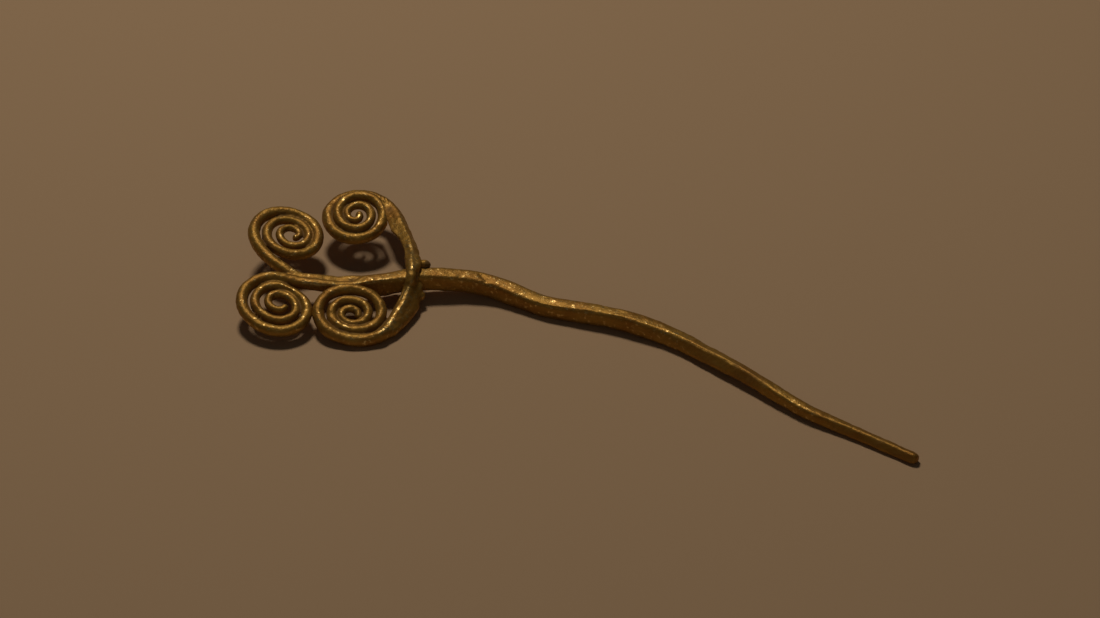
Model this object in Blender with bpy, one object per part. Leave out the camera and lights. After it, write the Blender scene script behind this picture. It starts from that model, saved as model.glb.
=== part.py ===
"""A gold dress pin with a head of four wire spirals, lying as it rests on a table.

The pin is one hammered bar. Its head end is split in two, and both halves are coiled. A second
piece, the crosspiece, saddles the bar in front of the split, and its two ends are coiled as well.
Lengths are in millimetres, X runs from the crossing to the tip, and Z is up from the table.
"""

import math
from dataclasses import dataclass

import bmesh
import bpy
from mathutils import Matrix, Vector

MM = 0.001
UP = Vector((0, 0, 1))

# Square bar of the pin
SHANK_LENGTH = 54.4
SHANK_SIDE = 1.72
TIP_SIDE = 0.95
CROSSING_GAP = 1.15
TAPER_START = 0.44

# Split stem behind the crossing
HEAD_TURN = math.radians(29.0)
STEM_LENGTH = 5.9
STEM_TURN = math.radians(14.0)
STEM_RISE = 0.055
STEM_END_WIDTH = 1.36
STEM_END_HEIGHT = 1.4
STEM_STEPS = 6

# Wire of the four coils
WIRE = 1.15
WIRE_END = 0.56
CAP_SIZE = 0.6
CAP_LENGTH = 0.2

# Two halves of the split stem, as (mm back along the head, mm aside, mm up) from its end
NEAR_HALF_WIDTH = 0.80
NEAR_HALF_HEIGHT = 1.00
NEAR_HALF_LEAVING = (-2.4, 0.0, 0.2)
FAR_HALF_WIRE = 0.9
FAR_HALF_ROOT = (1.6, 0.1, -0.1)
FAR_HALF_BEND = (-5.55, 0.3, 0.5)
FAR_HALF_LEAVING = (-0.9, 0.0, 0.0)
NEAR_HALF_ARRIVAL = 2.6
FAR_HALF_ARRIVAL = 2.8

# Band of the crosspiece
BAND_WIDTH = 1.55
NEAR_BAND_WIDTH = 2.0
BAND_THICKNESS = 0.8
BAND_LEAN = math.radians(38)
BAND_BLEND = 6
LEAN_START = 4
SEAT_CLEARANCE = 0.03
LUG_RADIUS = 0.42
LUG_STRETCH = 1.5
FAR_LUG_ALONG = 0.70
FAR_LUG_REACH = 0.12
FAR_LUG_DROP = -0.1
NEAR_LUG_ALONG = 0.25
NEAR_LUG_REACH = 1.05
NEAR_LUG_DROP = 1.65

# Arms of the crosspiece: the pull of their coils, and their headings at the saddle
FAR_ARM_PULL = 2.9
FAR_ARM_LANDING = (0.4, -3.4, 0.2)
NEAR_ARM_PULL = 1.7
NEAR_ARM_LEAVING = (-0.3, -1.45, -0.95)

# Room between the coils, the stem and the table
NEAR_PAIR_GAP = -0.04
FAR_PAIR_GAP = 0.69
STEM_CLEARANCE = 0.08
FAR_COIL_OFFSET = 5.74
NEAR_ARM_BOW = 2.8
FAR_ARM_BOW = 3.2
NEAR_PAIR_BEARING = math.radians(-2)
FAR_PAIR_BEARING = math.radians(25.6)
FAR_RIGHT_RISE = 1.55
FAR_LEFT_DROP = 0.3
LEFT_NEAR_HOVER = 0.8
WORN_DEPTH = 0.03

# Fineness of the faceted solids
SIDES = 12
OUTER_STEPS = 20
INNER_STEPS = 15
SQUARE = 9.0
ROUND = 2.0

# Course of the band over the bar as (mm along, half bars across, mm further across, mm down)
SADDLE = [
    (-0.55, 1, 1.30, 0.10),
    (-0.40, 0, 0.00, 0.00),
    (-0.28, -1, -0.05, 0.35),
    (-0.34, -1, -0.85, 1.47),
]

# Course of the bar as (share of its length, mm aside, mm between bar and table)
SHANK_COURSE = [
    (0.036, 1.25, 1.00),
    (0.084, 2.66, 0.73),
    (0.140, 3.44, 0.38),
    (0.200, 3.46, 0.03),
    (0.240, 3.50, 0.00),
    (0.300, 4.20, 0.10),
    (0.376, 4.97, 0.22),
    (0.456, 5.18, 0.06),
    (0.498, 4.97, 0.10),
    (0.544, 4.37, 0.18),
    (0.658, 2.86, 0.44),
    (0.771, 1.20, 0.30),
    (0.870, 0.76, 0.09),
    (0.955, 0.30, 0.01),
    (1.000, 0.00, 0.00),
]


@dataclass
class Coil:
    """A flat spiral of tapering wire, wound inwards from its outer end."""

    start: float
    turns: float
    way: int
    eye: float
    pitch: float
    spread: float = 0.0
    oval: float = 0.0
    oval_heading: float = 0.0
    drift: tuple = (0.0, 0.0)
    slope: tuple = (0.0, 0.0)
    sag: float = 0.0

    def radius(self, turn):
        """Distance from the middle, which shrinks by one pitch or a little more each turn."""
        left = self.turns - turn
        return self.eye + self.pitch * left + self.spread * left**2

    def point(self, turn):
        """Middle of the wire after that many turns, from the coil's own centre."""
        heading = self.start + self.way * math.tau * turn
        radius = self.radius(turn)
        radius *= 1 + self.oval * math.cos(2 * (heading - self.oval_heading))
        done = turn / self.turns
        across = self.drift[0] * done + radius * math.cos(heading)
        along = self.drift[1] * done + radius * math.sin(heading)
        right = Vector((1, 0, self.slope[0])).normalized()
        normal = Vector((-self.slope[0], -self.slope[1], 1)).normalized()
        away = normal.cross(right)
        drop = self.sag * max(0.0, 1 - turn) ** 2
        return right * across + away * along - normal * drop

    def wire(self, turn):
        """Thickness of the wire after that many turns."""
        return WIRE + (WIRE_END - WIRE) * turn / self.turns

    def steps(self):
        """Turn counts of the rings, closer together towards the eye."""
        turn = 0.0
        found = []
        while turn < self.turns:
            found.append(turn)
            share = turn / self.turns
            turn += 1 / (OUTER_STEPS + (INNER_STEPS - OUTER_STEPS) * share)
        return found + [self.turns]

    def reach(self, heading):
        """How far the coil's outside lies from its centre, in a level direction."""
        ray = Vector((math.cos(heading), math.sin(heading), 0))
        return max(self.point(t).dot(ray) + self.wire(t) / 2 for t in self.steps())

    def depth(self):
        """How far the coil's underside hangs below its centre."""
        return max(self.wire(t) / 2 - self.point(t).z for t in self.steps())


FAR_RIGHT = Coil(
    start=math.radians(68), turns=2.87, way=1, eye=0.35, pitch=WIRE * 0.99,
    oval=0.04, oval_heading=math.radians(-89), drift=(-0.4, -0.2), slope=(-0.02, 0.26), sag=1.6,
)
NEAR_RIGHT = Coil(
    start=math.radians(-56), turns=2.88, way=-1, eye=0.62, pitch=WIRE_END + 0.1, spread=0.16,
    oval=0.08, oval_heading=math.radians(-5), drift=(-0.22, -0.48), slope=(-0.06, 0.34),
)
FAR_LEFT = Coil(
    start=math.radians(-143), turns=2.78, way=-1, eye=0.46, pitch=WIRE * 1.01,
    oval=0.045, oval_heading=math.radians(-48), drift=(0.48, 0.19), slope=(-0.17, 0.16),
)
NEAR_LEFT = Coil(
    start=math.radians(92), turns=2.66, way=1, eye=0.62, pitch=WIRE * 1.035,
    oval=0.105, oval_heading=math.radians(-43), drift=(0.26, 0.40), slope=(-0.055, 0.24),
)


@dataclass
class Station:
    """One cross-section of a loft."""

    centre: Vector
    width: float
    height: float
    squareness: float = ROUND
    lean: float = 0.0


def from_head(x, y, z):
    """A point given along and across the head, turned to lie beside the bar."""
    return Matrix.Rotation(HEAD_TURN, 3, "Z") @ Vector((x, y, z))


def blend(a, b, share):
    return a + (b - a) * share


def ease(share):
    """Goes from 0 to 1 and is level at both ends."""
    share = min(1.0, max(0.0, share))
    return share * share * (3 - 2 * share)


def through(points, per_span):
    """A smooth curve that passes through the points."""
    ends = [2 * points[0] - points[1]] + points + [2 * points[-1] - points[-2]]
    found = []
    for a, b, c, d in zip(ends, ends[1:], ends[2:], ends[3:]):
        for i in range(per_span):
            t = i / per_span
            found.append(
                0.5 * ((2 * b) + (c - a) * t + (2 * a - 5 * b + 4 * c - d) * t**2
                       + (3 * b - a - 3 * c + d) * t**3)
            )
    return found + [points[-1]]


def sweep(start, leaving, arriving, end, count):
    """A curve from start to end that keeps a heading at each, without its two end points."""
    a, b, c, d = start, start + leaving, end - arriving, end
    found = []
    for i in range(1, count):
        t = i / count
        u = 1 - t
        found.append(a * u**3 + b * 3 * u * u * t + c * 3 * u * t * t + d * t**3)
    return found


def ring(station, heading):
    """Points of one cross-section, square to the heading."""
    side = heading.cross(UP).normalized()
    lift = side.cross(heading).normalized()
    cos, sin = math.cos(station.lean), math.sin(station.lean)
    side, lift = side * cos - lift * sin, side * sin + lift * cos
    power = station.squareness
    points = []
    for i in range(SIDES):
        angle = math.tau * (i + 0.5) / SIDES
        c, s = math.cos(angle), math.sin(angle)
        far = (abs(c) ** power + abs(s) ** power) ** (-1 / power)
        points.append(
            station.centre + side * (c * far * station.width / 2) + lift * (s * far * station.height / 2)
        )
    return points


def loft(name, stations):
    """A closed solid through the cross-sections, with blunt rounded ends."""
    centres = [s.centre for s in stations]
    headings = []
    for i in range(len(centres)):
        before, after = centres[max(0, i - 1)], centres[min(len(centres) - 1, i + 1)]
        headings.append((after - before).normalized())
    rings = [ring(s, h) for s, h in zip(stations, headings)]
    for end, way in ((0, -1), (-1, 1)):
        station = stations[end]
        cap = Station(
            station.centre + headings[end] * way * station.height * CAP_LENGTH,
            station.width * CAP_SIZE, station.height * CAP_SIZE, station.squareness, station.lean,
        )
        points = ring(cap, headings[end])
        if end:
            rings.append(points)
        else:
            rings.insert(0, points)
    mesh = bmesh.new()
    rows = [[mesh.verts.new(p * MM) for p in points] for points in rings]
    for row, following in zip(rows, rows[1:]):
        for i in range(SIDES):
            j = (i + 1) % SIDES
            mesh.faces.new((row[i], row[j], following[j], following[i]))
    mesh.faces.new(rows[0])
    mesh.faces.new(rows[-1])
    bmesh.ops.recalc_face_normals(mesh, faces=mesh.faces)
    data = bpy.data.meshes.new(name)
    mesh.to_mesh(data)
    mesh.free()
    obj = bpy.data.objects.new(name, data)
    bpy.context.scene.collection.objects.link(obj)
    return obj


def combine(target, tool, operation):
    """Joins or cuts with another solid, which then stays hidden."""
    tool.hide_render = True
    tool.display_type = "WIRE"
    modifier = target.modifiers.new(operation.title(), "BOOLEAN")
    modifier.operation = operation
    modifier.solver = "EXACT"
    modifier.object = tool


def bake(obj):
    """Applies an object's modifiers and removes the solids that they used."""
    graph = bpy.context.evaluated_depsgraph_get()
    data = bpy.data.meshes.new_from_object(obj.evaluated_get(graph))
    tools = [m.object for m in obj.modifiers]
    obj.modifiers.clear()
    obj.data = data
    for tool in tools:
        bpy.data.objects.remove(tool)


def gold(name, colour, roughness):
    material = bpy.data.materials.new(name)
    material.use_nodes = True
    shader = material.node_tree.nodes["Principled BSDF"]
    shader.inputs["Base Color"].default_value = colour
    shader.inputs["Metallic"].default_value = 1.0
    shader.inputs["Roughness"].default_value = roughness
    return material


def shank_side(share):
    """Side of the square bar, full as far as the taper and narrow at the tip."""
    taper = (share - TAPER_START) / (1 - TAPER_START)
    return blend(SHANK_SIDE, TIP_SIDE, math.sin(min(1.0, max(0.0, taper)) * math.pi / 2))


def crossing():
    """Middle of the bar under the crosspiece."""
    return Vector((0, 0, CROSSING_GAP + SHANK_SIDE / 2))


def split():
    """Middle of the stem's end, where the bar is split."""
    return crossing() + from_head(
        -STEM_LENGTH * math.cos(STEM_TURN), -STEM_LENGTH * math.sin(STEM_TURN), STEM_LENGTH * STEM_RISE
    )


def shank_stations():
    """The bar from its tip to the crossing."""
    course = [(0.0, 0.0, CROSSING_GAP)] + SHANK_COURSE
    waypoints = [
        Vector((share * SHANK_LENGTH, aside, gap + shank_side(share) / 2)) for share, aside, gap in course
    ]
    found = []
    for point in reversed(through(waypoints, 3)):
        side = shank_side(point.x / SHANK_LENGTH)
        found.append(Station(point, side, side, SQUARE))
    return found


def stem_stations():
    """The bar from the crossing to the split, growing a little lower and narrower."""
    found = []
    for i in range(1, STEM_STEPS + 1):
        share = i / STEM_STEPS
        centre = blend(crossing(), split(), share)
        width = blend(SHANK_SIDE, STEM_END_WIDTH, share)
        height = blend(SHANK_SIDE, STEM_END_HEIGHT, share)
        found.append(Station(centre, width, height, blend(SQUARE, SQUARE / 2, share)))
    return found


def coil_stations(coil, centre):
    """The coil's wire from its outer end to its eye, about a centre in the head's own frame."""
    found = []
    for turn in coil.steps():
        point = centre + coil.point(turn)
        wire = coil.wire(turn)
        found.append(Station(from_head(*point), wire, wire))
    return found


def coil_heading(coil, centre):
    """The way the wire runs at the coil's outer end."""
    step = 0.01
    ahead, here = centre + coil.point(step), centre + coil.point(0)
    return (from_head(*ahead) - from_head(*here)).normalized()


def half_stations(start, leaving, coil, centre, arrival, width, height, count):
    """Half of the split stem, growing round and full as it meets its coil."""
    end = from_head(*(centre + coil.point(0)))
    arriving = coil_heading(coil, centre) * arrival
    found = []
    for i, point in enumerate(sweep(start, from_head(*leaving), arriving, end, count)):
        share = ease((i + 1) / count)
        found.append(Station(
            point, blend(width, WIRE, share), blend(height, WIRE, share), blend(SQUARE / 3, ROUND, share)
        ))
    return found


def place_coils():
    """Centres of the coils in the head's frame, each clear of the stem and its neighbour."""
    stem = Matrix.Rotation(-HEAD_TURN, 3, "Z") @ split()
    near_right = Vector((
        -NEAR_ARM_BOW - NEAR_RIGHT.reach(0),
        stem.y - STEM_END_WIDTH / 2 - STEM_CLEARANCE - NEAR_RIGHT.reach(math.pi / 2),
        NEAR_RIGHT.depth(),
    ))
    far_right = Vector((
        -FAR_ARM_BOW - FAR_RIGHT.reach(0),
        stem.y + STEM_END_WIDTH / 2 + FAR_COIL_OFFSET + FAR_RIGHT.reach(-math.pi / 2),
        stem.z + FAR_RIGHT_RISE,
    ))

    def beside(coil, centre, neighbour, bearing, gap, height):
        """Puts a coil's centre back along a bearing, just clear of its right-hand neighbour."""
        ray = Vector((math.cos(bearing), math.sin(bearing), 0))
        apart = neighbour.reach(bearing + math.pi) + gap + coil.reach(bearing)
        place = centre - ray * apart
        return Vector((place.x, place.y, height))

    near_left = beside(
        NEAR_LEFT, near_right, NEAR_RIGHT, NEAR_PAIR_BEARING, NEAR_PAIR_GAP,
        LEFT_NEAR_HOVER + NEAR_LEFT.depth(),
    )
    far_left = beside(
        FAR_LEFT, far_right, FAR_RIGHT, FAR_PAIR_BEARING, FAR_PAIR_GAP, far_right.z - FAR_LEFT_DROP
    )
    return near_right, far_right, near_left, far_left


def pin(near_left, far_left):
    """The bar with its two split and coiled ends."""
    aside = from_head(0, STEM_END_WIDTH / 4, 0)
    near_half = half_stations(
        split() - aside, NEAR_HALF_LEAVING, NEAR_LEFT, near_left, NEAR_HALF_ARRIVAL,
        NEAR_HALF_WIDTH, NEAR_HALF_HEIGHT, 10,
    )
    body = loft("pin", shank_stations() + stem_stations() + near_half + coil_stations(NEAR_LEFT, near_left))

    root = split() + aside + from_head(*FAR_HALF_ROOT)
    bend = split() + aside + from_head(*FAR_HALF_BEND)
    run = [Station(blend(root, bend, i / 5), FAR_HALF_WIRE, FAR_HALF_WIRE, SQUARE / 3) for i in range(6)]
    far_half = half_stations(
        bend, FAR_HALF_LEAVING, FAR_LEFT, far_left, FAR_HALF_ARRIVAL, FAR_HALF_WIRE, FAR_HALF_WIRE, 8
    )
    combine(body, loft("far half", run + far_half + coil_stations(FAR_LEFT, far_left)), "UNION")
    return body


def lug(centre):
    """A small rounded lug on the band's edge."""
    mesh = bmesh.new()
    bmesh.ops.create_uvsphere(mesh, u_segments=10, v_segments=6, radius=LUG_RADIUS * MM)
    stretch = Matrix.Rotation(HEAD_TURN, 4, "Z") @ Matrix.Diagonal((LUG_STRETCH, 1, 1, 1))
    bmesh.ops.transform(mesh, matrix=Matrix.Translation(centre * MM) @ stretch, verts=mesh.verts)
    data = bpy.data.meshes.new("lug")
    mesh.to_mesh(data)
    mesh.free()
    obj = bpy.data.objects.new("lug", data)
    bpy.context.scene.collection.objects.link(obj)
    return obj


def crosspiece(near_right, far_right):
    """The band over the bar with its two coiled ends."""
    half = SHANK_SIDE / 2
    top = crossing().z + half
    over = top + SEAT_CLEARANCE + BAND_THICKNESS * 0.55
    saddle = [
        from_head(along, half * sides + further, over - down) for along, sides, further, down in SADDLE
    ]
    far_end = from_head(*(far_right + FAR_RIGHT.point(0)))
    far_leaving = -coil_heading(FAR_RIGHT, far_right) * FAR_ARM_PULL
    far_arm = sweep(far_end, far_leaving, from_head(*FAR_ARM_LANDING), saddle[0], 9)
    near_end = from_head(*(near_right + NEAR_RIGHT.point(0)))
    near_arriving = coil_heading(NEAR_RIGHT, near_right) * NEAR_ARM_PULL
    near_arm = sweep(saddle[-1], from_head(*NEAR_ARM_LEAVING), near_arriving, near_end, 7)

    line = far_arm + through(saddle, 3) + near_arm
    stations = list(reversed(coil_stations(FAR_RIGHT, far_right)))
    for i, point in enumerate(line):
        near = ease((len(line) - i) / BAND_BLEND)
        flat = min(ease((i + 1) / BAND_BLEND), near)
        turned = ease((i + 1 - len(far_arm) - LEAN_START) / BAND_BLEND)
        width = blend(BAND_WIDTH, NEAR_BAND_WIDTH, turned)
        stations.append(Station(
            point, blend(WIRE, width, flat), blend(WIRE, BAND_THICKNESS, flat),
            blend(ROUND, SQUARE / 3, flat), -BAND_LEAN * turned * near,
        ))
    body = loft("crosspiece", stations + coil_stations(NEAR_RIGHT, near_right))

    far_lug = from_head(FAR_LUG_ALONG, half + FAR_LUG_REACH, top - FAR_LUG_DROP)
    near_lug = from_head(NEAR_LUG_ALONG, -half - NEAR_LUG_REACH, top - NEAR_LUG_DROP)
    for place in (far_lug, near_lug):
        combine(body, lug(place), "UNION")
    seat = shank_stations()[-5:] + stem_stations()
    for station in seat:
        station.width += 2 * SEAT_CLEARANCE
        station.height += 2 * SEAT_CLEARANCE
    combine(body, loft("seat", seat), "DIFFERENCE")
    return body


def settle(objects):
    """Wears the resting places flat, then centres the piece over the table's origin."""
    points = [v.co for obj in objects for v in obj.data.vertices]
    floor = min(p.z for p in points)
    for p in points:
        if p.z < floor + WORN_DEPTH * MM:
            p.z = floor + WORN_DEPTH * MM
    floor += WORN_DEPTH * MM
    middle = Vector([(min(p[i] for p in points) + max(p[i] for p in points)) / 2 for i in (0, 1)] + [floor])
    for obj in objects:
        obj.data.transform(Matrix.Translation(-middle))
        obj.data.shade_smooth()
        obj.data.set_sharp_from_angle(angle=math.radians(40))


def main():
    for obj in list(bpy.data.objects):
        bpy.data.objects.remove(obj)
    near_right, far_right, near_left, far_left = place_coils()
    pieces = [pin(near_left, far_left), crosspiece(near_right, far_right)]
    finishes = [("pin gold", (0.62, 0.42, 0.14, 1), 0.36), ("crosspiece gold", (0.60, 0.40, 0.14, 1), 0.38)]
    for obj, finish in zip(pieces, finishes):
        bake(obj)
        obj.data.materials.clear()
        obj.data.materials.append(gold(*finish))
    settle(pieces)
    return pieces


main()
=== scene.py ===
# %% [markdown]
# # A gold dress pin with four wire spirals
#
# This lesson dresses a solid model as old hammered gold. The model comes from the library as plain
# solids, already in their true places and sizes, in metres. The solids are the frame, and every
# piece made here rides on it.

# %% Loading the frame
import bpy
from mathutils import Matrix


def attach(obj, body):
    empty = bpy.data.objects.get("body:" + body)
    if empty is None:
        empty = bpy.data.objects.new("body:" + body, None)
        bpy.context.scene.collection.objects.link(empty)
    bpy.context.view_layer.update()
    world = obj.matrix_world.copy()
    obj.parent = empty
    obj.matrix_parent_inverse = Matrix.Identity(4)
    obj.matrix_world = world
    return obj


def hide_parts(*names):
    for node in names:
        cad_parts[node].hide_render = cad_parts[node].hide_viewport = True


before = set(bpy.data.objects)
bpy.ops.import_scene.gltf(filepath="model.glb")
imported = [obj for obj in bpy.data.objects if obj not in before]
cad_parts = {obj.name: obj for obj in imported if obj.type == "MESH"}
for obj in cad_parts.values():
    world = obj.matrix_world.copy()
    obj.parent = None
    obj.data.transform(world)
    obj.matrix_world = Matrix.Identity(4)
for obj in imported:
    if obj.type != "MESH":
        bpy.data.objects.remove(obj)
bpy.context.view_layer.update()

print("solids:", sorted(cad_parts))

# %% [markdown]
# Blender's operators act on whatever is selected, and the frame arrives selected. So the first
# helpers let go of everything, and take up just one piece.

# %% Taking up one piece
import math

import bpy
import numpy as np
from mathutils import Vector
from mathutils.bvhtree import BVHTree


def let_go():
    if bpy.context.mode != "OBJECT":
        bpy.ops.object.mode_set(mode="OBJECT")
    bpy.ops.object.select_all(action="DESELECT")


def take_up(piece):
    let_go()
    piece.select_set(True)
    bpy.context.view_layer.objects.active = piece


let_go()
print("nothing is selected:", not bpy.context.selected_objects)

# %% [markdown]
# The goldsmith hammered a bar square, split one end, and drew both halves out to wire. A solid from
# the frame has that shape but only coarse facets. It could be modelled afresh, but a copy keeps
# every bend where the frame has it. The copy is enlarged a thousand times, so that one unit is one
# millimetre, because the voxel remesher can't work finer than a tenth of a millimetre otherwise.

# %% A blank from a solid
MM = 1000.0
WELD = 0.001
FLAT_ENOUGH = math.radians(60)


def blank_from(node, name):
    """A smooth-sided copy of a solid, in millimetres."""
    piece = bpy.data.objects.new(name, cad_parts[node].data.copy())
    bpy.context.scene.collection.objects.link(piece)
    piece.data.materials.clear()
    take_up(piece)
    piece.scale = (MM, MM, MM)
    bpy.ops.object.transform_apply(location=False, rotation=False, scale=True)
    bpy.ops.mesh.customdata_custom_splitnormals_clear()
    bpy.ops.object.mode_set(mode="EDIT")
    bpy.ops.mesh.select_all(action="SELECT")
    bpy.ops.mesh.remove_doubles(threshold=WELD)
    bpy.ops.mesh.mark_sharp(clear=True)
    bpy.ops.mesh.tris_convert_to_quads(face_threshold=FLAT_ENOUGH, shape_threshold=FLAT_ENOUGH)
    bpy.ops.object.mode_set(mode="OBJECT")
    return piece


pin = blank_from("pin", "gold_pin")
crosspiece = blank_from("crosspiece", "gold_crosspiece")
for piece in (pin, crosspiece):
    print(piece.name, len(piece.data.vertices), "points,", len(piece.data.polygons), "faces")

# %% [markdown]
# Subdivision rounds the facets into wire and pulls it a little thin, so the surface is then pushed
# out again. The voxel remesher turns the result into one even skin of small squares, which is what
# hammer marks need: a mark then looks the same wherever it falls.

# %% An even skin
def finish_modifier(piece, kind, **settings):
    """Adds one modifier, sets it, and applies it."""
    take_up(piece)
    modifier = piece.modifiers.new(kind.title(), kind)
    for key, value in settings.items():
        setattr(modifier, key, value)
    bpy.ops.object.modifier_apply(modifier=modifier.name)


def even_skin(piece, voxel, swell):
    finish_modifier(piece, "SUBSURF", levels=2, render_levels=2)
    finish_modifier(piece, "DISPLACE", strength=swell, mid_level=0.0)
    finish_modifier(piece, "REMESH", mode="VOXEL", voxel_size=voxel, use_smooth_shade=True)
    finish_modifier(piece, "SMOOTH", factor=0.5, iterations=4)
    print(piece.name, len(piece.data.polygons) * 2, "triangles")


even_skin(pin, voxel=0.095, swell=0.08)
even_skin(crosspiece, voxel=0.074, swell=0.10)

# %% [markdown]
# The next cells shape the skins by moving their points, as a small hammer and a chisel would. These
# helpers hand over all points and all normals of a piece at once, and find the nearest place on a
# line of given points.

# %% Points, normals and lines
def read_points(piece, normals=False):
    mesh = piece.data
    flat = np.empty(len(mesh.vertices) * 3)
    if normals:
        mesh.vertex_normals.foreach_get("vector", flat)
    else:
        mesh.vertices.foreach_get("co", flat)
    return flat.reshape(-1, 3)


def write_points(piece, points):
    piece.data.vertices.foreach_set("co", points.ravel())
    piece.data.update()


def nearest_on(path, points):
    """For each point: distance to the line, the nearest place on it, and how far along that is."""
    path = np.array(path, float)
    best = np.full(len(points), 1e9)
    place = np.zeros((len(points), path.shape[1]))
    along = np.zeros(len(points))
    done = 0.0
    for start, end in zip(path[:-1], path[1:]):
        step = end - start
        length = np.linalg.norm(step)
        share = np.clip((points[:, : len(step)] - start) @ step / length**2, 0, 1)
        foot = start + share[:, None] * step
        gap = np.linalg.norm(points[:, : len(step)] - foot, axis=1)
        nearer = gap < best
        best[nearer], place[nearer] = gap[nearer], foot[nearer]
        along[nearer] = done + share[nearer] * length
        done += length
    return best, place, along


print("points:", len(read_points(pin)), "and", len(read_points(crosspiece)))

# %% [markdown]
# The shank was beaten square and then had its edges knocked down, and it twists a little on its way
# to the tip, so its top looks bright in some places and dull in others. First its middle line is
# found, by cutting it into thin slices and smoothing the middles of their boxes.

# %% Middle line of the shank
SHANK_START = -17.6
SLICE_STEP = 0.5
SLICE_HALF = 0.4
SOFTEN = np.array([0.25, 0.5, 0.25])


def middle_line(points):
    """Stations along x, the course there, half the width, and the ways to the near side and up."""
    stations = np.arange(SHANK_START, points[:, 0].max(), SLICE_STEP)
    middles, halves = [], []
    for x in stations:
        slab = points[np.abs(points[:, 0] - x) < SLICE_HALF][:, 1:]
        middles.append((slab.min(axis=0) + slab.max(axis=0)) / 2)
        halves.append((slab[:, 1].max() - slab[:, 1].min()) / 2)
    middles = np.array(middles)
    for _ in range(3):
        for column in range(2):
            middles[1:-1, column] = np.convolve(middles[:, column], SOFTEN, "valid")
    course = np.column_stack([stations, middles])
    tangent = np.gradient(course, axis=0)
    tangent /= np.linalg.norm(tangent, axis=1)[:, None]
    near = np.column_stack([tangent[:, 1], -tangent[:, 0], np.zeros(len(stations))])
    near /= np.linalg.norm(near, axis=1)[:, None]
    return stations, course, halves, near, np.cross(near, tangent)


shank_line = middle_line(read_points(pin))
print("shank:", len(shank_line[0]), "slices")

# %% [markdown]
# Each slice is then turned by a few degrees about the middle line, and pressed in wherever it
# stands beyond a facet. The facets wander in and out a little, as hand work does.

# %% Twist and facets of the shank
# Along x in mm, and the turn there in degrees, away from the viewer.
TWIST = [
    (-17, -5), (-5, -3), (0, 5), (6, 9), (10, 20), (14, 28),
    (18, 26), (21, 8), (24, 2), (28, 16), (32, 28),
]
# Direction of each facet in degrees from the near side up, and its reach in half sides.
FACETS = [(38, 1.12), (124, 1.08), (-42, 1.2), (84, 0.98), (2, 0.98)]
FACET_FADE = 1.5
WAVE_DEPTH, WAVE_PACE, WAVE_SHIFT = 0.012, 1.9, 2.3


def work_shank(piece, stations, course, halves, near, up):
    def at(table, x):
        return np.column_stack([np.interp(x, stations, table[:, k]) for k in range(3)])

    points = read_points(piece)
    part = points[:, 0] > SHANK_START
    body = points[part]
    x = body[:, 0]
    for _ in range(3):
        offset = body - at(course, x)
        sideways = np.sum(offset * at(near, x), axis=1) * at(near, x)[:, 0]
        upwards = np.sum(offset * at(up, x), axis=1) * at(up, x)[:, 0]
        x = body[:, 0] - sideways - upwards
    centre, side, top = at(course, x), at(near, x), at(up, x)
    offset = body - centre
    a, b = np.sum(offset * side, axis=1), np.sum(offset * top, axis=1)
    rest = offset - a[:, None] * side - b[:, None] * top
    half = np.interp(x, stations, halves)
    fade = np.clip((x - SHANK_START) / FACET_FADE, 0, 1)
    turn = np.radians(np.interp(x, *zip(*TWIST))) * fade
    a, b = a * np.cos(turn) - b * np.sin(turn), a * np.sin(turn) + b * np.cos(turn)
    for index, (degrees, reach) in enumerate(FACETS):
        lean = np.radians(degrees) + turn
        wave = WAVE_DEPTH * np.sin(x * WAVE_PACE + index * WAVE_SHIFT)
        beyond = a * np.cos(lean) + b * np.sin(lean) - half * (reach + wave)
        beyond = np.maximum(beyond, 0) * fade
        a, b = a - beyond * np.cos(lean), b - beyond * np.sin(lean)
    points[part] = centre + rest + a[:, None] * side + b[:, None] * top
    write_points(piece, points)
    print("shank worked from x", round(float(x.min()), 1), "to", round(float(x.max()), 1))


work_shank(pin, *shank_line)

# %% [markdown]
# Left of the crossing the bar stays as deep as the shank and sags a little, the fork behind it
# hangs lower, and just right of the crossing the shank's underside is lower too. Each region has
# tables that say where along an axis the movement grows and where it dies away.

# %% Depth of the stem, the fork and the shank
# Each table has places in mm and the share of the movement there.
STEM_ALONG_X = ([-26.5, -24.0, -20.5, -18.6], [0, 1, 1, 0])
STEM_FAR_LIMIT, STEM_NEAR_LIMIT = ([1.5, 3.0], [1, 0]), ([-5.0, -4.0], [0, 1])
STEM_UNDERSIDE = ([1.6, 2.3], [1, 0])
STEM_SAG = (0.13, 0.24, -0.20)
STEM_DEPTH = 0.58

FORK_ALONG_X = ([-30.0, -28.0, -24.5, -22.0], [0, 1, 1, 0])
FORK_ALONG_Y = ([-6.0, -5.2, -1.5, -0.5], [0, 1, 1, 0])
FORK_DROP = 0.32

SHANK_BOTTOM = ([-18.6, -5.7], [1.35, 0])  # x, and the height of the underside there
SHANK_ALONG_X = ([-20.0, -18.6, -9.5, -7.0], [0, 1, 1, 0])
SHANK_UNDERSIDE = ([0.3, 0.9], [1, 0])
SHANK_DEPTH = 0.2

points = read_points(pin)
stem = np.interp(points[:, 0], *STEM_ALONG_X)
stem = stem * np.interp(points[:, 1], *STEM_FAR_LIMIT) * np.interp(points[:, 1], *STEM_NEAR_LIMIT)
under = np.interp(points[:, 2], *STEM_UNDERSIDE)
points += stem[:, None] * np.array(STEM_SAG)
points[:, 2] -= stem * under * STEM_DEPTH

fork = np.interp(points[:, 0], *FORK_ALONG_X) * np.interp(points[:, 1], *FORK_ALONG_Y)
points[:, 2] -= fork * FORK_DROP

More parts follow.
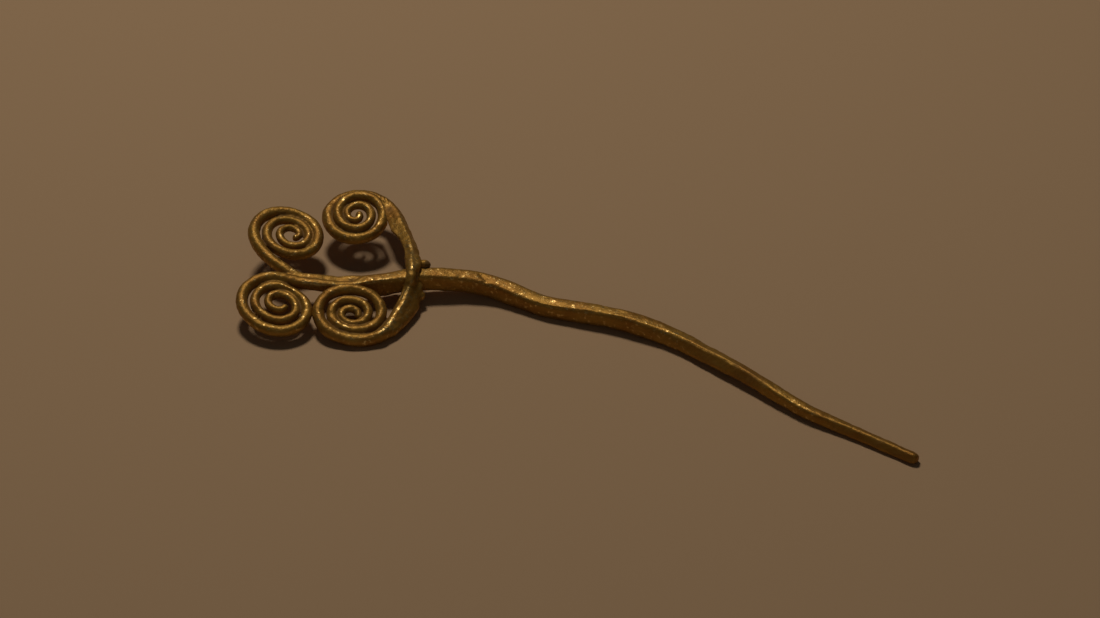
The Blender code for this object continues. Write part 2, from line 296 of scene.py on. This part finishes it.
bottom = np.interp(points[:, 0], *SHANK_BOTTOM)
low = np.interp(points[:, 2] - bottom, *SHANK_UNDERSIDE) * np.interp(points[:, 0], *SHANK_ALONG_X)
points[:, 2] -= low * SHANK_DEPTH
write_points(pin, points)
print("lowered points:", [int((share > 0.5).sum()) for share in (stem, fork, low)])

# %% [markdown]
# The two arms of the crosspiece and its crossing over the bar each have a line along their top. The
# helper below looks at a piece from above and says on which side of such a line each point lies.

# %% Lines along the arms
FAR_RIDGE = [
    (-26.61, 11.13, 3.50), (-25.25, 10.29, 3.46), (-24.02, 9.14, 3.46), (-22.62, 7.64, 3.48),
    (-21.35, 6.42, 3.56), (-20.14, 5.01, 3.62), (-19.33, 3.88, 3.64),
]
CROSSING = [
    (-21.04, 5.53, 3.6), (-20.17, 4.49, 3.7), (-19.45, 3.59, 3.76), (-18.82, 2.66, 3.83),
    (-18.37, 1.90, 3.75),
]
NEAR_RIDGE = [
    (-18.37, 1.90, 3.78), (-17.93, 1.17, 3.45), (-17.71, 0.68, 3.00), (-17.63, 0.24, 2.60),
    (-17.52, -0.53, 2.31), (-17.40, -1.32, 2.10), (-17.36, -2.15, 1.92), (-17.28, -3.25, 1.70),
    (-17.20, -4.75, 1.48), (-17.25, -5.98, 1.38),
]
LOOK_AHEAD = 0.3


def from_above(path, points):
    """As nearest_on, and also which points lie left of the line and how far along its bends are."""
    gap, foot, along = nearest_on(path, points)
    marks = np.concatenate([[0], np.cumsum(np.linalg.norm(np.diff(path, axis=0), axis=1))])
    ahead = np.column_stack([
        np.interp(along + LOOK_AHEAD, marks, row) - np.interp(along - LOOK_AHEAD, marks, row)
        for row in path.T
    ])
    aside = points[:, :2] - foot
    on_left = ahead[:, 0] * aside[:, 1] - ahead[:, 1] * aside[:, 0] > 0
    return gap, foot, along, on_left, marks


for name, line in (("far ridge", FAR_RIDGE), ("crossing", CROSSING), ("near ridge", NEAR_RIDGE)):
    print(name, "runs over", round(sum(math.dist(a, b) for a, b in zip(line, line[1:])), 1), "mm")

# %% [markdown]
# Hand-drawn metal is wide in one place and thin in the next. The far arm is first moved a little
# towards the viewer's left, and then both arms and the crossing are drawn in towards their lines. A
# negative share spreads the metal instead.

# %% Drawing in the arms
# Along the far arm in mm, and how far it is moved there.
FAR_ARM_SHIFT = ([0, 2.0, 4.5, 6.5, 8.5, 10.5], [0, 0.2, 0.34, 0.2, 0, 0])
SHIFT_REACH = ([1.3, 1.6], [1, 0])
VIEWERS_RIGHT = np.array([0.873, 0.487])
SHIFT_FLOOR = 1.5
DRAW_REACH = ([1.3, 1.55], [1, 0])
DRAW_FADE = 0.9
DRAW_RISE = 0.4


def narrow(piece, ridge, left, right, floor):
    """Draws the metal in towards a line; left and right are the shares taken off on each side."""
    points = read_points(piece)
    gap, foot, along, on_left, marks = from_above(np.array(ridge)[:, :2], points)
    aside = points[:, :2] - foot
    fade = np.clip(np.minimum(along, marks[-1] - along) / DRAW_FADE, 0, 1)
    fade = fade * np.interp(points[:, 2], [floor, floor + DRAW_RISE], [0, 1])
    fade = fade * np.interp(gap, *DRAW_REACH)
    points[:, :2] = foot + aside * (1 - fade * np.where(on_left, left, right))[:, None]
    write_points(piece, points)
    print(piece.name, "narrowed at", int((fade > 0.5).sum()), "points")


points = read_points(crosspiece)
gap, _, along = nearest_on(np.array(FAR_RIDGE)[:, :2], points)
shift = np.interp(along, *FAR_ARM_SHIFT) * np.interp(gap, *SHIFT_REACH)
points[:, :2] -= shift[:, None] * VIEWERS_RIGHT * (points[:, 2:] > SHIFT_FLOOR)
write_points(crosspiece, points)
narrow(crosspiece, FAR_RIDGE[:4], left=0.0, right=-0.2, floor=1.2)
narrow(crosspiece, FAR_RIDGE[3:], left=0.15, right=0.18, floor=1.2)
narrow(crosspiece, CROSSING[3:] + NEAR_RIDGE[1:4], left=0.45, right=0.1, floor=2.0)

# %% [markdown]
# Each arm has a ridge along it with a flat face down each side, like a low roof. Points that stand
# above the roof are pressed down onto it. The far arm gets its roof here, and the near arm later,
# after its metal has been raised.

# %% Roofs of the arms
ROOF_FADE = 0.8
ROOF_DEPTH = 1.3
PRESSED_SHARE = 0.9


def roof(piece, ridge, left, right, reach_left, reach_right, flat=0.0):
    """Presses the top down on both sides of a ridge; left and right are the slopes of the faces."""
    points = read_points(piece)
    path = np.array(ridge)
    gap, _, along, on_left, marks = from_above(path[:, :2], points)
    height = np.interp(along, marks, path[:, 2])
    limit = height - np.maximum(gap - flat, 0) * np.where(on_left, left, right)
    ends = np.clip(np.minimum(along, marks[-1] - along) / ROOF_FADE, 0, 1)
    inside = gap < np.where(on_left, reach_left, reach_right)
    above = np.clip(points[:, 2] - limit, 0, None) * inside * ends
    above = above * (points[:, 2] > height - ROOF_DEPTH)
    points[:, 2] -= above * PRESSED_SHARE
    write_points(piece, points)
    print(piece.name, "pressed at", int((above > 0.02).sum()), "points")


roof(crosspiece, FAR_RIDGE, left=1.1, right=0.4, reach_left=1.0, reach_right=1.45)

# %% [markdown]
# A chisel leaves a groove, and metal pushed aside stands up as a ridge. Both are the same stroke
# along a line of points, with a negative or a positive height. Easing is the opposite tool: it
# evens out what the strokes and the roofs leave rough.

# %% Strokes and easing
EASE_STEP = 0.5


def stroke(piece, path, width, height):
    """Raises or cuts the skin along a line, most in its middle."""
    points = read_points(piece)
    gap, _, _ = nearest_on(path, points)
    push = height * np.exp(-((gap / width) ** 2))
    write_points(piece, points + read_points(piece, normals=True) * push[:, None])


def ease(piece, path, radius, times):
    """Evens out the skin around a line by moving each point towards its neighbours."""
    mesh = piece.data
    ends = np.empty(len(mesh.edges) * 2, np.int64)
    mesh.edges.foreach_get("vertices", ends)
    first, second = ends[0::2], ends[1::2]
    points = read_points(piece)
    size = len(points)
    count = np.bincount(ends, minlength=size)
    share = np.clip(1.5 - 1.5 * nearest_on(path, points)[0] / radius, 0, 1) * EASE_STEP
    for _ in range(times):
        for k in range(3):
            total = np.bincount(first, points[second, k], size)
            total = total + np.bincount(second, points[first, k], size)
            points[:, k] += share * (total / count - points[:, k])
    write_points(piece, points)


NEAR_ARM_OUTSIDE = [(-16.7, -0.3, 0.8), (-16.6, -1.5, 0.8), (-16.5, -3.0, 0.7), (-16.6, -4.5, 0.6)]
stroke(crosspiece, CROSSING, width=0.28, height=0.12)
stroke(crosspiece, NEAR_ARM_OUTSIDE, width=0.6, height=0.20)
stroke(crosspiece, NEAR_RIDGE[1:], width=0.55, height=0.30)
roof(crosspiece, NEAR_RIDGE, left=0.75, right=0.5, reach_left=2.0, reach_right=0.6, flat=0.17)
ease(crosspiece, NEAR_RIDGE, radius=0.6, times=6)
print("near arm and crossing worked")

# %% [markdown]
# Now the small things that one would draw last: a burr on the far arm, soft bends, the sharp edge
# of the stem, swollen places in three spirals, a hollow in the band, a dent in the shank, and three
# file marks side by side.

# %% Edges, dents and file marks
FAR_ARM_BURR = [(-24.33, 8.56, 3.2), (-24.14, 9.25, 3.4)]
NEAR_SHOULDER = [(-17.55, 1.07, 2.3), (-17.1, 0.6, 1.6), (-16.9, -0.4, 1.2)]
FAR_ARM_SIDE = [(-26.61, 10.9, 3.4), (-25.4, 9.9, 3.2), (-24.0, 8.7, 3.2)]
CROSSING_GROOVE = [(-17.88, 1.95, 3.3), (-17.65, 1.75, 3.0), (-17.5, 1.5, 2.8)]
stroke(crosspiece, FAR_ARM_BURR, width=0.13, height=0.10)
ease(crosspiece, NEAR_SHOULDER, radius=0.7, times=70)
ease(crosspiece, FAR_ARM_SIDE, radius=1.0, times=12)
stroke(crosspiece, CROSSING_GROOVE, width=0.16, height=-0.18)

LEFT_NEAR_EYE = [(-28.6, -7.3, 2.5), (-28.0, -7.9, 2.4)]
STEM_EDGE = [
    (-27.1, -4.6, 3.0), (-26.37, -4.14, 2.92), (-25.45, -3.8, 2.83), (-24.6, -3.3, 2.8),
    (-23.55, -2.6, 2.85), (-22.31, -1.7, 2.9), (-21.18, -0.7, 2.95), (-20.0, 0.3, 2.95),
]
LEFT_FAR_TURN = [(-30.04, 3.4, 3.47), (-30.99, 3.97, 3.78)]
FAR_COIL_TURN = [(-31.48, 6.05, 3.36), (-31.1, 5.38, 3.22)]
BAND_HOLLOW = [(-19.9, 2.9, 3.2), (-19.3, 1.9, 3.2), (-19.0, 1.2, 3.0)]
SHANK_DENT = [(-12.67, 5.75, 2.4), (-12.25, 5.64, 2.35), (-11.81, 5.47, 2.25)]
FILE_MARKS = [
    [(-27.69, 10.92, 3.6), (-27.3, 10.5, 3.6)],
    [(-27.43, 11.09, 3.6), (-26.98, 10.74, 3.45)],
    [(-27.13, 11.19, 3.5), (-26.63, 10.77, 3.4)],
]
stroke(pin, LEFT_NEAR_EYE, width=0.8, height=0.14)
stroke(pin, STEM_EDGE, width=0.22, height=0.12)
stroke(pin, LEFT_FAR_TURN, width=1.0, height=0.10)
stroke(crosspiece, FAR_COIL_TURN, width=1.2, height=0.14)
stroke(crosspiece, BAND_HOLLOW, width=0.5, height=-0.16)
stroke(pin, SHANK_DENT, width=0.25, height=-0.09)
for mark in FILE_MARKS:
    stroke(crosspiece, mark, width=0.09, height=0.08)
print("strokes cut")

# %% [markdown]
# Hand-hammered wire is never quite even: it swells, thins and carries small flat blows. Broad soft
# clouds make it wander, and a cell pattern makes the blows. What lies on the table is worn flat.

# %% Hammer marks
def hammer(piece, kind, size, depth):
    """Moves the skin in and out by a pattern of the given size, in millimetres."""
    pattern = bpy.data.textures.new(piece.name + " " + kind.lower(), kind)
    pattern.noise_scale = size
    finish_modifier(
        piece, "DISPLACE", texture=pattern, texture_coords="LOCAL", strength=depth, mid_level=0.5
    )


for piece, blows in ((pin, 0.03), (crosspiece, 0.05)):
    hammer(piece, "CLOUDS", size=2.2, depth=0.12)
    hammer(piece, "VORONOI", size=0.9, depth=blows)
    hammer(piece, "CLOUDS", size=0.45, depth=0.06)
    points = read_points(piece)
    points[:, 2] = np.maximum(points[:, 2], 0)
    write_points(piece, points)
    print(piece.name, "hammered")

# %% [markdown]
# Soil stays in the hollows of old gold, between the turns and under the wire. To know where that
# is, short rays go out from each point of the skin: where many of them soon hit metal, the point
# lies in a hollow.

# %% Finding the hollows
ABOVE_SKIN = 0.02
RAYS = 14


def closed_in(mesh, reach):
    """How closed in each point is, from 0 in the open to 1 in a hollow."""
    tree = BVHTree.FromPolygons(
        [v.co for v in mesh.vertices], [p.vertices for p in mesh.polygons]
    )
    golden = math.pi * (3 - math.sqrt(5))
    fan = []
    for i in range(RAYS):
        up = 1 - (i + 0.5) / RAYS
        out = math.sqrt(1 - up * up)
        fan.append((out * math.cos(golden * i), out * math.sin(golden * i), up))
    hits = np.zeros(len(mesh.vertices), np.float32)
    for index, vertex in enumerate(mesh.vertices):
        normal = vertex.normal
        across = normal.orthogonal().normalized()
        along = normal.cross(across)
        start = vertex.co + normal * ABOVE_SKIN
        found = 0.0
        for x, y, z in fan:
            distance = tree.ray_cast(start, across * x + along * y + normal * z, reach)[3]
            if distance is not None:
                found += 1 - distance / reach
        hits[index] = found / RAYS
    return hits


hollows = {piece: closed_in(piece.data, reach=1.6) for piece in (pin, crosspiece)}
for piece, hits in hollows.items():
    print(piece.name, "is most closed in at", round(float(hits.max()), 2))

# %% [markdown]
# Three things are listed: a few darker spots, two of them painted shade, the dull stretches of the
# shank, which are painted shade too, and the crests that fingers have rubbed bright, which are also
# painted highlight. All of it is kept on the mesh in two attributes for the finish to read,
# "soil_and_shade", which also holds the soil of the hollows, and "crest".

# %% Painted shade, dull stretches and crests
# Along x in mm, and the least painted shade there, laid in soil colour where the twisted top of
# the shank catches no lamp light.
SHANK_SHADE = [(9, 0), (12.5, 0.2), (18, 0.2), (20.5, 0.05), (24, 0.05), (28, 0.15), (36, 0.18)]
# Place, radius and amount of each darker spot: painted shade in the groove at the crossing,
# painted shade at the end of the far lug, and a darker patch on the far arm next to its spiral.
GROOVE_SHADE = ((-17.65, 1.7, 3.0), 0.35, 0.7)
DARKER_SPOTS = [GROOVE_SHADE, ((-17.7, 3.95, 3.1), 0.5, 0.75), ((-26.0, 10.0, 3.2), 0.7, 0.3)]
CREST_WIDTH = 0.28


def keep(mesh, name, values):
    mesh.attributes.new(name, "FLOAT", "POINT").data.foreach_set("value", values)


def note_finish(piece, hits, darker_spots, crests):
    """Keeps the soil, the painted shade, and the worn crests with their painted highlight as
    attributes of a piece's points.
    """
    points = read_points(piece)
    # The darker spots lay soil colour at given places: painted shade at the groove and the far lug.
    for place, radius, amount in darker_spots:
        gap = np.linalg.norm(points - np.array(place), axis=1)
        hits = np.maximum(hits, amount * np.exp(-((gap / radius) ** 2))).astype(np.float32)
    # The dull stretches of the shank get painted shade, in soil colour.
    hits = np.maximum(hits, np.interp(points[:, 0], *zip(*SHANK_SHADE))).astype(np.float32)
    keep(piece.data, "soil_and_shade", hits)
    # The crests are partly wear and partly painted highlight.
    wear_and_highlight = np.zeros(len(points), np.float32)
    for path in crests:
        near = np.exp(-((nearest_on(path, points)[0] / CREST_WIDTH) ** 2))
        wear_and_highlight = np.maximum(wear_and_highlight, near).astype(np.float32)
    keep(piece.data, "crest", wear_and_highlight)
    print(piece.name, "soiled:", int((hits > 0.3).sum()), "rubbed:", int((wear_and_highlight > 0.5).sum()))


note_finish(pin, hollows[pin], darker_spots=[GROOVE_SHADE], crests=[STEM_EDGE])
note_finish(crosspiece, hollows[crosspiece], darker_spots=DARKER_SPOTS, crests=[CROSSING, NEAR_RIDGE[2:]])

# %% [markdown]
# The finished skins go back to metres and take the places of the two solids.

# %% Back to metres
def settle(piece, node):
    take_up(piece)
    piece.scale = (1 / MM, 1 / MM, 1 / MM)
    bpy.ops.object.transform_apply(location=False, rotation=False, scale=True)
    bpy.ops.object.shade_smooth()
    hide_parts(node)
    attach(piece, "root")


settle(pin, "pin")
settle(crosspiece, "crosspiece")

# %% [markdown]
# A shader is a small tree of nodes. Four helpers plant them: one adds any node, one does sums, one
# makes noise, and one makes a smooth step.

# %% Helpers for nodes
def put(tree, kind, **settings):
    """Adds a node and sets its properties."""
    node = tree.nodes.new(kind)
    for key, value in settings.items():
        setattr(node, key, value)
    return node


def feed(tree, socket, value):
    """Gives a socket a fixed value, or links another node's result to it."""
    if isinstance(value, (int, float, tuple)):
        socket.default_value = value
    else:
        tree.links.new(value, socket)


def sum_of(tree, operation, a, b):
    """A Math node on two sockets or numbers."""
    node = put(tree, "ShaderNodeMath", operation=operation)
    feed(tree, node.inputs[0], a)
    feed(tree, node.inputs[1], b)
    return node.outputs[0]


def noise(tree, coords, scale, detail=3.0, roughness=0.55):
    node = put(tree, "ShaderNodeTexNoise")
    node.inputs["Detail"].default_value = detail
    node.inputs["Roughness"].default_value = roughness
    feed(tree, node.inputs["Vector"], coords)
    feed(tree, node.inputs["Scale"], scale)
    return node.outputs["Fac"]


def ramp(tree, value, low, high):
    """Goes smoothly from 0 at low to 1 at high."""
    node = put(tree, "ShaderNodeMapRange", interpolation_type="SMOOTHSTEP")
    node.inputs["From Min"].default_value = low
    node.inputs["From Max"].default_value = high
    tree.links.new(value, node.inputs["Value"])
    return node.outputs["Result"]


print("four helpers ready, for Blender", bpy.app.version_string)

# %% [markdown]
# Both finishes share three effects, so each effect is a node group. The first says where the soil
# is, in the hollows, and where shade is painted, at the darker spots and along the dull stretches,
# broken up by noise. The second says where the gold is worn bright: in small spots in the open, and
# in beads along the crests, where the paler colour is also painted highlight. The third is the skin
# of hammered gold, with fine dents and grain, as a height for a Bump node.

# %% Shared effects
def group(name, inputs, outputs):
    """An empty node group with named number sockets."""
    made = bpy.data.node_groups.new(name, "ShaderNodeTree")
    for label, value in inputs:
        socket = made.interface.new_socket(label, in_out="INPUT", socket_type="NodeSocketFloat")
        socket.default_value = value
    for label in outputs:
        made.interface.new_socket(label, in_out="OUTPUT", socket_type="NodeSocketFloat")
    return made, made.nodes.new("NodeGroupInput"), made.nodes.new("NodeGroupOutput")


def place_in(tree):
    return put(tree, "ShaderNodeTexCoord").outputs["Object"]


def kept_value(tree, name):
    return put(tree, "ShaderNodeAttribute", attribute_name=name).outputs["Fac"]


soil_shade_group, soil_shade_in, soil_shade_out = group(
    "Soil in hollows", [("Amount", 1.0), ("Patch Scale", 900.0)], ["Soil"]
)
# The mask holds the soil of the hollows and the painted shade of the darker spots and dull
# stretches.
patches = noise(soil_shade_group, place_in(soil_shade_group), soil_shade_in.outputs["Patch Scale"])
uneven = sum_of(soil_shade_group, "MULTIPLY", sum_of(soil_shade_group, "SUBTRACT", patches, 0.5), 0.5)
filled = ramp(soil_shade_group, sum_of(soil_shade_group, "ADD", kept_value(soil_shade_group, "soil_and_shade"), uneven), 0.12, 0.5)
amount = sum_of(soil_shade_group, "MULTIPLY", filled, soil_shade_in.outputs["Amount"])
soil_shade_group.links.new(amount, soil_shade_out.inputs["Soil"])

wear_highlight_group, wear_highlight_in, wear_highlight_out = group("Worn spots", [("Spot Scale", 2600.0)], ["Worn"])
place = place_in(wear_highlight_group)
spots = ramp(wear_highlight_group, noise(wear_highlight_group, place, wear_highlight_in.outputs["Spot Scale"], detail=2.0), 0.55, 0.75)
in_open = sum_of(wear_highlight_group, "SUBTRACT", 1.0, ramp(wear_highlight_group, kept_value(wear_highlight_group, "soil_and_shade"), 0.02, 0.2))
beads = ramp(wear_highlight_group, noise(wear_highlight_group, place, 1900.0, detail=1.0), 0.38, 0.58)
# Crest beads are partly wear and partly painted highlight.
crest_wear_and_highlight = sum_of(wear_highlight_group, "MULTIPLY", kept_value(wear_highlight_group, "crest"), beads)
rubbed_spots = sum_of(wear_highlight_group, "MULTIPLY", spots, in_open)
wear_highlight_group.links.new(sum_of(wear_highlight_group, "MAXIMUM", crest_wear_and_highlight, rubbed_spots), wear_highlight_out.inputs["Worn"])

skin, skin_in, skin_out = group(
    "Hammered skin", [("Dent Scale", 1400.0), ("Grain Scale", 7000.0)], ["Height"]
)
place = place_in(skin)
dents = noise(skin, place, skin_in.outputs["Dent Scale"], detail=2.0)
grain = noise(skin, place, skin_in.outputs["Grain Scale"], detail=4.0, roughness=0.65)
height = sum_of(
    skin, "ADD", sum_of(skin, "MULTIPLY", dents, 0.7), sum_of(skin, "MULTIPLY", grain, 0.3)
)
skin.links.new(height, skin_out.inputs["Height"])
print("groups:", [g.name for g in bpy.data.node_groups])

# %% [markdown]
# Gold shows its colour in what it reflects, so the metal gets a warm yellow and a satin roughness.
# Soil is brown and hardly metal at all. Mixing the two by the soil mask gives dark recesses, and
# the same brown is painted shade at the darker spots and along the dull stretches. The worn spots
# and crests are paler, smoother and more metallic, and on the crests the paler colour is also
# painted highlight.

# %% Old gold
CLEAN = (0.405, 0.226, 0.040, 1)
DEEP = (0.335, 0.163, 0.027, 1)
# Pale worn gold; on the crests it is also painted highlight.
BRIGHT = (0.68, 0.48, 0.18, 1)
# Soil brown, also used as painted shade at the darker spots and dull stretches.
SOIL_AND_SHADE_BROWN = (0.21, 0.115, 0.035, 1)
TONE_SCALE = 350.0
SATIN, RUBBED_SMOOTHER, SOIL_ROUGHER = 0.48, 0.2, 0.3
BARE_METAL, RUBBED_METAL = 0.6, 0.35
BUMP_DISTANCE = 0.0001


def mix(tree, a, b, mask):
    """Colour a where the mask is 0, and colour b where it is 1."""
    node = put(tree, "ShaderNodeMix", data_type="RGBA")
    tree.links.new(mask, node.inputs["Factor"])
    feed(tree, node.inputs[6], a)
    feed(tree, node.inputs[7], b)
    return node.outputs[2]


def old_gold(name, soil_and_shade_amount):
    material = bpy.data.materials.new(name)
    material.use_nodes = True
    tree = material.node_tree
    shader = tree.nodes["Principled BSDF"]

    soiled_and_shaded = put(tree, "ShaderNodeGroup", node_tree=soil_shade_group)
    soiled_and_shaded.inputs["Amount"].default_value = soil_and_shade_amount
    soil_and_shade_mask = soiled_and_shaded.outputs["Soil"]
    wear_and_highlight = put(tree, "ShaderNodeGroup", node_tree=wear_highlight_group).outputs["Worn"]

    tone = ramp(tree, noise(tree, place_in(tree), TONE_SCALE), 0.35, 0.7)
    # Paler where worn, and along the crests also as painted highlight.
    metal = mix(tree, mix(tree, CLEAN, DEEP, tone), BRIGHT, wear_and_highlight)
    # Soil in the hollows, and painted shade at the darker spots and along the dull stretches.
    tree.links.new(mix(tree, metal, SOIL_AND_SHADE_BROWN, soil_and_shade_mask), shader.inputs["Base Color"])

    bare = sum_of(tree, "ADD", BARE_METAL, sum_of(tree, "MULTIPLY", wear_and_highlight, RUBBED_METAL))
    free = sum_of(tree, "SUBTRACT", 1.0, soil_and_shade_mask)
    tree.links.new(sum_of(tree, "MULTIPLY", bare, free), shader.inputs["Metallic"])
    rough = sum_of(tree, "SUBTRACT", SATIN, sum_of(tree, "MULTIPLY", wear_and_highlight, RUBBED_SMOOTHER))
    rough = sum_of(tree, "ADD", rough, sum_of(tree, "MULTIPLY", soil_and_shade_mask, SOIL_ROUGHER))
    tree.links.new(rough, shader.inputs["Roughness"])
    shader.inputs["Specular IOR Level"].default_value = 0.3

    bump = put(tree, "ShaderNodeBump")
    bump.inputs["Strength"].default_value = 1.0
    bump.inputs["Distance"].default_value = BUMP_DISTANCE
    relief = put(tree, "ShaderNodeGroup", node_tree=skin).outputs["Height"]
    tree.links.new(relief, bump.inputs["Height"])
    tree.links.new(bump.outputs["Normal"], shader.inputs["Normal"])
    return material


for piece, name in ((pin, "pin gold"), (crosspiece, "crosspiece gold")):
    piece.data.materials.append(old_gold(name, soil_and_shade_amount=0.9))
print("finishes:", [m.name for m in bpy.data.materials])

# %% [markdown]
# The pin lies on a plain pale table top, which is only a stage and no part of it.

# %% The table
let_go()
bpy.ops.mesh.primitive_plane_add(size=4.0, location=(0, 0, 0))
table_top = bpy.context.object
table_top.name = "table_top"
paint = bpy.data.materials.new("table paint")
paint.use_nodes = True
coat = paint.node_tree.nodes["Principled BSDF"]
coat.inputs["Base Color"].default_value = (0.574, 0.392, 0.229, 1)
coat.inputs["Roughness"].default_value = 0.85
table_top.data.materials.append(paint)
print("table:", table_top.dimensions[:])

# %% [markdown]
# One small soft lamp stands behind the pin and a little to the left, high up, so the shadows fall
# towards the viewer. A broad weak lamp on the viewer's side softens them, and the room adds only a
# faint glow.

# %% Light
def round_lamp(name, towards, distance, size, energy, colour):
    """A disk of light at a distance from the middle of the table, facing it."""
    lamp = bpy.data.lights.new(name, "AREA")
    lamp.shape = "DISK"
    lamp.size = size
    lamp.energy = energy
    lamp.color = colour
    holder = bpy.data.objects.new(name, lamp)
    towards = towards.normalized()
    holder.location = towards * distance
    holder.rotation_euler = towards.to_track_quat("Z", "Y").to_euler()
    bpy.context.scene.collection.objects.link(holder)
    print(name, "at", [round(v, 3) for v in holder.location])


round_lamp(
    "soft lamp", Vector((-0.4145, 0.3986, 1.0)), distance=0.425,
    size=0.082, energy=0.55, colour=(1.0, 0.88, 0.74),
)
round_lamp(
    "fill lamp", Vector((0.389, -0.698, 0.25)), distance=0.5,
    size=0.4, energy=0.085, colour=(1.0, 0.85, 0.68),
)

room = bpy.data.worlds.new("dim room")
room.use_nodes = True
glow = room.node_tree.nodes["Background"]
glow.inputs["Color"].default_value = (0.85, 0.92, 1.0, 1)
glow.inputs["Strength"].default_value = 0.018
bpy.context.scene.world = room
bpy.context.scene.view_settings.view_transform = "Standard"

# %% [markdown]
# The camera looks down on the table at 37 degrees, from the side of the two lower spirals.

# %% Camera
LOOKS_DOWN = 37
TURNED = 29.138

view = bpy.data.cameras.new("view")
view.lens = 100
view.sensor_width = 36
view.clip_start = 0.01
camera = bpy.data.objects.new("view", view)
camera.location = (0.113377, -0.206156, 0.18389)
camera.rotation_euler = (math.radians(90 - LOOKS_DOWN), 0, math.radians(TURNED))
bpy.context.scene.collection.objects.link(camera)
bpy.context.scene.camera = camera
print("camera", round(camera.location.length * 1000), "mm away")

# %% [markdown]
# Last, the view layer is brought up to date.

# %% Bringing the view layer up to date
bpy.context.view_layer.update()
